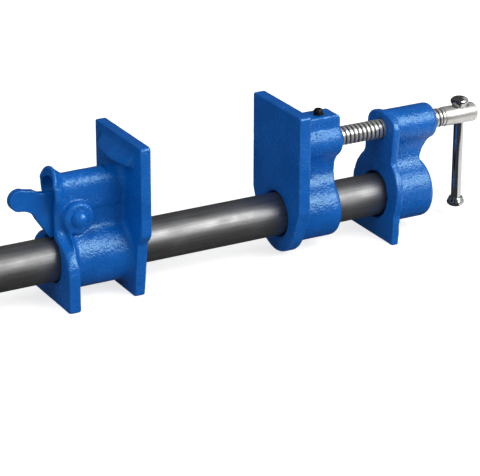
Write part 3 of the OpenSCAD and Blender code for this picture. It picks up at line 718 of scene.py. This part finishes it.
def soften(points, first, edges, place):
    """Rounds the points that lay in a soft place at first, and draws them out from its wall"""
    inside = 1 - (np.abs(first - np.array(place["middle"])) / np.array(place["half"])).max(axis=1)
    share = np.clip(inside * SOFT_BORDER, 0, 1)
    for _ in range(place["passes"]):
        points = ease_once(points, edges, EASE * share[:, None])
    if "wall" in place:
        aside = points[:, Y] / place["half_width"]
        arc = place["stretch"] * np.sqrt(np.clip(1 - aside ** 2, 0, 1)) - 1
        points[:, X] += share * arc * np.minimum(points[:, X] - place["wall"], 0)
    return points


def bell_mouth(points):
    """Widens the sides of the tail jaw's tunnel towards its mouth, as a bell"""
    near = smooth_step(points[:, X], *MOUTH_ALONG)
    rise = smooth_step(points[:, Z], *MOUTH_FOOT) * smooth_step(points[:, Z], *MOUTH_CROWN)
    aside = smooth_step(np.abs(points[:, Y]), *MOUTH_SIDE)
    spread = points.copy()
    spread[:, Y] += np.sign(points[:, Y]) * MOUTH_SPREAD * near * rise * aside
    return spread


def mould_waves(points):
    return np.array([sum(part * noise.noise(Vector(point) * rate) for rate, part in MOULD_WAVES)
                     for point in points])


def cast_piece(node, body, grid, passes, swell, finish=None):
    """A cast piece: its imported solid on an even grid, with eased edges, softer where the real one
    is, and with the mould's slow waves. How far the easing moved each point along its normal is
    kept as the edge and crease attributes that the enamel reads"""
    item = merged_copy(node)
    mesh = on_even_grid(item, grid)
    first = read_rows(mesh.vertices, "co", 3)
    edges = read_rows(mesh.edges, "vertices", 2, np.int64)
    points = first
    for _ in range(passes):
        points = ease_once(points, edges, EASE)
    moved = points - first
    for place in SOFT_PLACES.get(node, ()):
        points = soften(points, first, edges, place)
    if node == "tail_jaw":
        points = bell_mouth(points)
    mesh.vertices.foreach_set("co", points.ravel())
    mesh.update()
    normals = read_rows(mesh.vertices, "normal", 3)
    moved = (moved * normals).sum(1) / (FULL_EDGE * grid)
    if swell:
        points = points + normals * (mould_waves(points) * swell)[:, None]
        mesh.vertices.foreach_set("co", points.ravel())
    # From these attributes the enamel paints a highlight on edges and shade in creases
    for label, values in (("edge", -moved), ("crease", moved)):
        layer = mesh.attributes.new(label, "FLOAT", "POINT")
        layer.data.foreach_set("value", np.clip(values, 0.0, 1.0).astype(np.float32))
    finish_piece(item, body, node, "blue_enamel", 0, finish)


# ---- Operators

class CLAMP_OT_castings(bpy.types.Operator):
    """Makes the fixed head, the moving jaw and the tail jaw as enamelled castings"""
    bl_idname = "clamp.castings"
    bl_label = "Castings"

    def execute(self, context):
        sizes = context.scene.clamp_sizes
        for node, body in CASTINGS:
            cast_piece(node, body, sizes.cast_grid, sizes.cast_passes, sizes.cast_swell)
        return {"FINISHED"}


class CLAMP_OT_lever(bpy.types.Operator):
    """Makes the cam lever and the domed pin that it turns on"""
    bl_idname = "clamp.lever"
    bl_label = "Cam lever and pin"

    def execute(self, context):
        sizes = context.scene.clamp_sizes
        cast_piece("cam_lever", "lever", sizes.lever_grid, sizes.cast_passes, 0.0, "smooth_enamel")
        low, high = span("pivot_pin", Y)
        dome_r = half_width("pivot_pin", X)
        dome_h, pin_r, ease, steps = 0.0042, 0.003, 0.0004, 14
        base = high - dome_h
        ball_r = (dome_r ** 2 + dome_h ** 2) / (2 * dome_h)
        reach = math.acos(1 - dome_h / ball_r)
        dome = [(base + dome_h - ball_r + ball_r * math.cos(reach * k / steps),
                 ball_r * math.sin(reach * k / steps)) for k in range(1, steps)]
        half = [(high, 0.0)] + dome + [(base + ease, dome_r), (base, dome_r - ease), (base, pin_r)]
        rows = [(-along, radius) for along, radius in half] + half[::-1]
        mesh = joined([turned(rows, 72)])
        centre = (middle("pivot_pin", X), (low + high) / 2, middle("pivot_pin", Z))
        mesh.transform(Matrix.Translation(centre) @ Matrix.Rotation(HALF_PI, 4, "Z"))
        pin = new_object("pivot_pin_domed", mesh)
        finish_piece(pin, "tail", "pivot_pin", "blue_enamel", 40, "smooth_enamel")
        return {"FINISHED"}


class CLAMP_OT_screw(bpy.types.Operator):
    """Makes the threaded spindle with its grooved nose and its drilled hub, and the set screw"""
    bl_idname = "clamp.screw"
    bl_label = "Screw and set screw"

    def execute(self, context):
        sizes = context.scene.clamp_sizes
        self.make_spindle(sizes)
        self.make_set_screw(sizes)
        return {"FINISHED"}

    def make_spindle(self, sizes):
        start, end = span("screw_spindle", X)
        height = middle("screw_spindle", Z)
        crest, nose_r, groove_r, root_r = 0.006, 0.005, 0.0037, 0.0046
        neck_r, hub_r = 0.0057, 0.0062
        hub_len, neck_w, nose_len, groove_w, groove_in = 0.024, 0.0014, 0.0205, 0.0066, 0.0125
        edge, around = 0.0007, 72
        nose_edge, groove_edge, thread_start = edge * 1.4, edge / 3, start + nose_len + 0.0003
        groove = start + nose_len - groove_in - groove_w / 2
        hub = end - hub_len
        neck = hub - neck_w
        nose = turned([
            (start, 0.0), (start, nose_r - nose_edge), (start + nose_edge, nose_r),
            (groove, nose_r), (groove + groove_edge, groove_r),
            (groove + groove_w - groove_edge, groove_r), (groove + groove_w, nose_r),
            (thread_start, nose_r), (thread_start, root_r)], around)
        thread = thread_mesh(
            thread_start, neck, crest, sizes.screw_depth, root_r, sizes.screw_pitch, around)
        rounding = [(edge * (1 - math.cos(a)), edge * (1 - math.sin(a)))
                    for a in np.linspace(0, HALF_PI, 5)]
        handle = turned(
            [(neck, root_r), (neck, neck_r), (hub, neck_r)]
            + [(hub + along, hub_r - inset) for along, inset in rounding]
            + [(end - along * 2, hub_r - inset * 2) for along, inset in rounding[::-1]]
            + [(end, 0.0)], around)
        item = new_object("screw_spindle_threaded", joined([nose, thread, handle]))
        item.data.transform(Matrix.Translation((0, 0, height)))
        cut_away(item, self.cross_hole(hub_r, edge, height))
        finish_piece(item, "screw", "screw_spindle", "plated_steel", sharp=32)

    def cross_hole(self, hub_r, edge, height):
        """The hole through the hub for the bar, with a spot face at each end"""
        bar_r, seat_r, seat_in = 0.0033, 0.00605, 0.0012
        half = [(hub_r - seat_in, bar_r), (hub_r - seat_in, seat_r), (hub_r + edge, seat_r),
                (hub_r + edge, 0.0)]
        hole = joined([turned([(-along, radius) for along, radius in half[::-1]] + half, 64)])
        place = Matrix.Translation((middle("tommy_bar", X), 0, height))
        hole.transform(place @ Matrix.Rotation(HALF_PI, 4, "Y"))
        return hole

    def make_set_screw(self, sizes):
        low, high = span("jaw_set_screw", Z)
        radius = half_width("jaw_set_screw", X)
        depth, edge, around, hexagon = 0.00055, 0.0007, 48, 6
        core, socket = radius - depth, radius * 0.5
        thread = thread_mesh(
            low + edge, high - edge, radius, depth, core, sizes.grub_pitch, around)
        foot = turned([(low, 0.0), (low, core - edge), (low + edge, core)], around)
        top = turned([
            (high - edge, core), (high - edge / 4, core - edge / 3), (high, core - edge),
            (high, socket, hexagon), (high - radius, socket, hexagon),
            (high - radius * 1.3, 0.0)], around)
        mesh = joined([foot, thread, top])
        place = Matrix.Translation((middle("jaw_set_screw", X), 0, 0))
        mesh.transform(place @ Matrix.Rotation(-HALF_PI, 4, "Y"))
        grub = new_object("jaw_set_screw_socket", mesh)
        finish_piece(grub, "jaw", "jaw_set_screw", "black_oxide", sharp=30)


class CLAMP_OT_handle(bpy.types.Operator):
    """Makes the sliding bar and the cap on each of its ends"""
    bl_idname = "clamp.handle"
    bl_label = "Bar and caps"

    def execute(self, context):
        place = middle("tommy_bar", X)
        low, high = span("tommy_bar", Z)
        bar_r, edge, play, around = half_width("tommy_bar", Y), 0.0004, 0.00005, 72
        mesh = joined([turned([
            (low, 0.0), (low, bar_r - edge), (low + edge, bar_r),
            (high - edge, bar_r), (high, bar_r - edge), (high, 0.0)], around)])
        mesh.transform(Matrix.Translation((place, 0, 0)) @ Matrix.Rotation(-HALF_PI, 4, "Y"))
        finish_piece(new_object("tommy_bar_turned", mesh), "bar", "tommy_bar", "bar_chrome")
        for node, flip in (("bar_cap_upper", 1), ("bar_cap_lower", -1)):
            floor, top = span(node, Z)
            tall, wide = top - floor, half_width(node, Y)
            rows = [(tall * 0.5, 0.0), (tall * 0.5, bar_r + play), (0.0, bar_r + play)]
            rows += [(tall * along, wide * radius) for along, radius in CAP_OUTLINE]
            mesh = joined([turned(rows, around)])
            mesh.transform(Matrix.Rotation(-HALF_PI * flip, 4, "Y"))
            mesh.transform(Matrix.Translation((place, 0, floor if flip > 0 else top)))
            finish_piece(new_object(node + "_turned", mesh), "bar", node, "bar_chrome", sharp=50)
        return {"FINISHED"}


class CLAMP_OT_pipe(bpy.types.Operator):
    """Makes the pipe with its bevelled free end and the thread that holds it in the head"""
    bl_idname = "clamp.pipe"
    bl_label = "Pipe"

    def execute(self, context):
        sizes = context.scene.clamp_sizes
        start, end = span("pipe", X)
        outer = half_width("pipe", Y)
        wall, bevel, around, rings = 0.0029, 0.0012, 128, 40
        small, depth = bevel / 3, sizes.pipe_pitch * 0.45
        inner, root = outer - wall, outer - depth
        thread_start = end - sizes.pipe_thread
        lengths = np.linspace(start + bevel, thread_start - depth, rings)
        skin = turned(
            [(end - small, root), (end, root - small), (end, inner + small), (end - small, inner)]
            + [(along, inner) for along in lengths[::-1]]
            + [(start + small, inner), (start, inner + small), (start, outer - bevel)]
            + [(along, outer) for along in lengths] + [(thread_start, root)], around)
        thread = thread_mesh(
            thread_start, end - small, outer, depth, root, sizes.pipe_pitch, around)
        mesh = joined([skin, thread])
        mesh.transform(Matrix.Translation((0, 0, middle("pipe", Z))))
        finish_piece(new_object("pipe_rolled", mesh), "pipe_and_head", "pipe", "pipe_steel")
        return {"FINISHED"}


class CLAMP_OT_spring(bpy.types.Operator):
    """Makes the torsion spring beside the lever from round wire"""
    bl_idname = "clamp.spring"
    bl_label = "Lever spring"

    def execute(self, context):
        sizes = context.scene.clamp_sizes
        coil_r, pitch, arm, turns, steps = 0.0047, 0.00145, 0.006, 2.75, 160
        first_y = span("lever_spring", Y)[0] + sizes.wire_radius
        centre = Vector((middle("pivot_pin", X), first_y, middle("pivot_pin", Z)))

        def coil(turn):
            angle = turn * math.tau
            return Vector((coil_r * math.sin(angle), pitch * turn, coil_r * math.cos(angle)))

        line = [coil(turns * k / steps) for k in range(steps + 1)]
        way = (line[-1] - line[-2]).normalized()
        line = [line[0] - Vector((arm, 0, 0))] + line + [line[-1] + way * arm]
        links = [(k, k + 1) for k in range(len(line) - 1)]
        mesh = bpy.data.meshes.new("spring line")
        mesh.from_pydata([centre + point for point in line], links, [])
        tree = bpy.data.node_groups.get("Round wire") or wire_tree()
        wire = run_tree(tree, new_object("spring line", mesh), {
            "Wire Radius": sizes.wire_radius, "Sides": 14, "Step": 0.0003})
        spring = new_object("lever_spring_wire", joined([wire]))
        finish_piece(spring, "tail", "lever_spring", "spring_steel", 50)
        return {"FINISHED"}


class CLAMP_OT_studio(bpy.types.Operator):
    """Sets the camera, the floor, the lights, and the cards that only gloss sees, which paint
    reflections
    """
    bl_idname = "clamp.studio"
    bl_label = "Studio"

    def execute(self, context):
        studio = context.scene.clamp_studio
        scene = context.scene
        scene.view_settings.view_transform = "Standard"
        self.make_camera(scene, studio)
        self.make_floor(studio)
        self.make_world(scene, studio)
        self.make_light("key", *KEY_LIGHT, studio.key_power)
        top = self.make_light("top", *TOP_LIGHT, studio.top_power)
        top.visible_glossy = False
        self.make_cards()
        return {"FINISHED"}

    def seen(self, nodes):
        """1 where the camera, or a mirror or glass in its view, looks"""
        path = nodes.add("ShaderNodeLightPath").outputs
        direct = nodes.math("MAXIMUM", path["Is Camera Ray"], path["Is Glossy Ray"])
        return nodes.math("MAXIMUM", direct, path["Is Transmission Ray"])

    def make_camera(self, scene, studio):
        turn, lift, roll = (math.radians(angle) for angle in CAMERA_TURNS)
        look = Vector((-math.sin(turn) * math.cos(lift), math.cos(turn) * math.cos(lift),
                       -math.sin(lift)))
        right = Vector((math.cos(turn), math.sin(turn), 0.0))
        up = right.cross(look)
        side = right * math.cos(roll) + up * math.sin(roll)
        top = up * math.cos(roll) - right * math.sin(roll)
        aside, upwards = CAMERA_SHIFT
        eye = Vector(CAMERA_POINT) - side * aside - top * upwards - look * CAMERA_FAR
        data = bpy.data.cameras.new("camera")
        data.lens = studio.lens
        data.sensor_width = SENSOR_WIDTH
        data.clip_start, data.clip_end = CLIP_START, CLIP_END
        camera = new_object("camera", data)
        turned_to = Matrix((side, top, -look)).transposed().to_4x4()
        camera.matrix_world = Matrix.Translation(eye) @ turned_to
        scene.camera = camera

    def flat_piece(self, name, colour, corners):
        """A rectangle between two opposite corners, with no gloss, which can glow white"""
        low, high = corners
        across, upwards = [axis for axis in (X, Y, Z) if low[axis] != high[axis]]
        points = [list(low) for _ in range(4)]
        for k in (1, 2):
            points[k][across] = high[across]
            points[k + 1][upwards] = high[upwards]
        material, nodes, shader = new_material(name)
        shader["Base Color"].default_value = colour
        shader["Specular IOR Level"].default_value = 0.0
        shader["Emission Color"].default_value = WHITE
        mesh = bpy.data.meshes.new(name)
        mesh.from_pydata(points, [], [(0, 1, 2, 3)])
        mesh.materials.append(material)
        return new_object(name, mesh), nodes, shader

    def make_floor(self, studio):
        corners = (-FLOOR_HALF, -FLOOR_HALF, 0), (FLOOR_HALF, FLOOR_HALF, 0)
        floor, nodes, shader = self.flat_piece("floor", (*studio.floor, 1.0), corners)
        shader["Roughness"].default_value = 0.9
        glow = nodes.math("MULTIPLY", self.seen(nodes), FLOOR_GLOW)
        nodes.feed(shader["Emission Strength"], glow)

    def make_world(self, scene, studio):
        world = bpy.data.worlds.new("studio")
        world.use_nodes = True
        scene.world = world
        nodes = Nodes(world.node_tree)
        back = world.node_tree.nodes["Background"].inputs
        back["Color"].default_value = WHITE
        nodes.feed(back["Strength"], nodes.ramp(self.seen(nodes), 0.0, 1.0, studio.fill, 1.0))

    def make_light(self, name, way, far, size, power):
        """Broad soft light that looks at the clamp from a direction"""
        way = Vector(way).normalized()
        data = bpy.data.lights.new(name, "AREA")
        data.shape = "RECTANGLE"
        data.size, data.size_y = size
        data.energy = power
        lamp = new_object(name, data)
        lamp.location = Vector(LIGHTS_POINT) + way * far
        lamp.rotation_euler = (-way).to_track_quat("-Z", "Y").to_euler()
        return lamp

    def make_cards(self):
        """Cards that only gloss sees: dark ones round the clamp paint a dim room and the shadowed
        floor into reflections, and pale ones on its right glow as painted reflections
        """
        for name, (light, *corners) in CARDS.items():
            card, _, shader = self.flat_piece(name, BLACK, corners)
            shader["Emission Strength"].default_value = light
            card.visible_camera = False
            card.visible_diffuse = False
            card.visible_shadow = False
            card.visible_transmission = False


class CLAMP_PT_panel(bpy.types.Panel):
    """Lists the clamp's sizes, finishes and studio, and the operators that make it"""
    bl_idname = "CLAMP_PT_panel"
    bl_label = "Pipe clamp"
    bl_space_type = "VIEW_3D"
    bl_region_type = "UI"
    bl_category = "Clamp"

    def draw(self, context):
        scene = context.scene
        for title, group in (("Sizes", scene.clamp_sizes), ("Finishes", scene.clamp_finish),
                             ("Studio", scene.clamp_studio)):
            box = self.layout.box()
            box.label(text=title)
            for name in group.__annotations__:
                box.prop(group, name)
        for operator in STEPS:
            self.layout.operator(operator.bl_idname)


STEPS = (CLAMP_OT_castings, CLAMP_OT_lever, CLAMP_OT_screw, CLAMP_OT_handle, CLAMP_OT_pipe,
         CLAMP_OT_spring, CLAMP_OT_studio)
CLASSES = (ClampSizes, ClampFinish, ClampStudio, *STEPS, CLAMP_PT_panel)


def register():
    for cls in CLASSES:
        bpy.utils.register_class(cls)
    bpy.types.Scene.clamp_sizes = PointerProperty(type=ClampSizes)
    bpy.types.Scene.clamp_finish = PointerProperty(type=ClampFinish)
    bpy.types.Scene.clamp_studio = PointerProperty(type=ClampStudio)


def unregister():
    for name in ("clamp_sizes", "clamp_finish", "clamp_studio"):
        delattr(bpy.types.Scene, name)
    for cls in reversed(CLASSES):
        bpy.utils.unregister_class(cls)


def main():
    """Clears what Blender starts with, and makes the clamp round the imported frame"""
    kept = set(frame["bodies"].values()) | set(frame["nodes"].values())
    for item in list(bpy.data.objects):
        if item not in kept:
            bpy.data.objects.remove(item)
    register()
    bpy.ops.clamp.castings()
    bpy.ops.clamp.lever()
    bpy.ops.clamp.screw()
    bpy.ops.clamp.handle()
    bpy.ops.clamp.pipe()
    bpy.ops.clamp.spring()
    bpy.ops.clamp.studio()


if __name__ == "__main__":
    main()
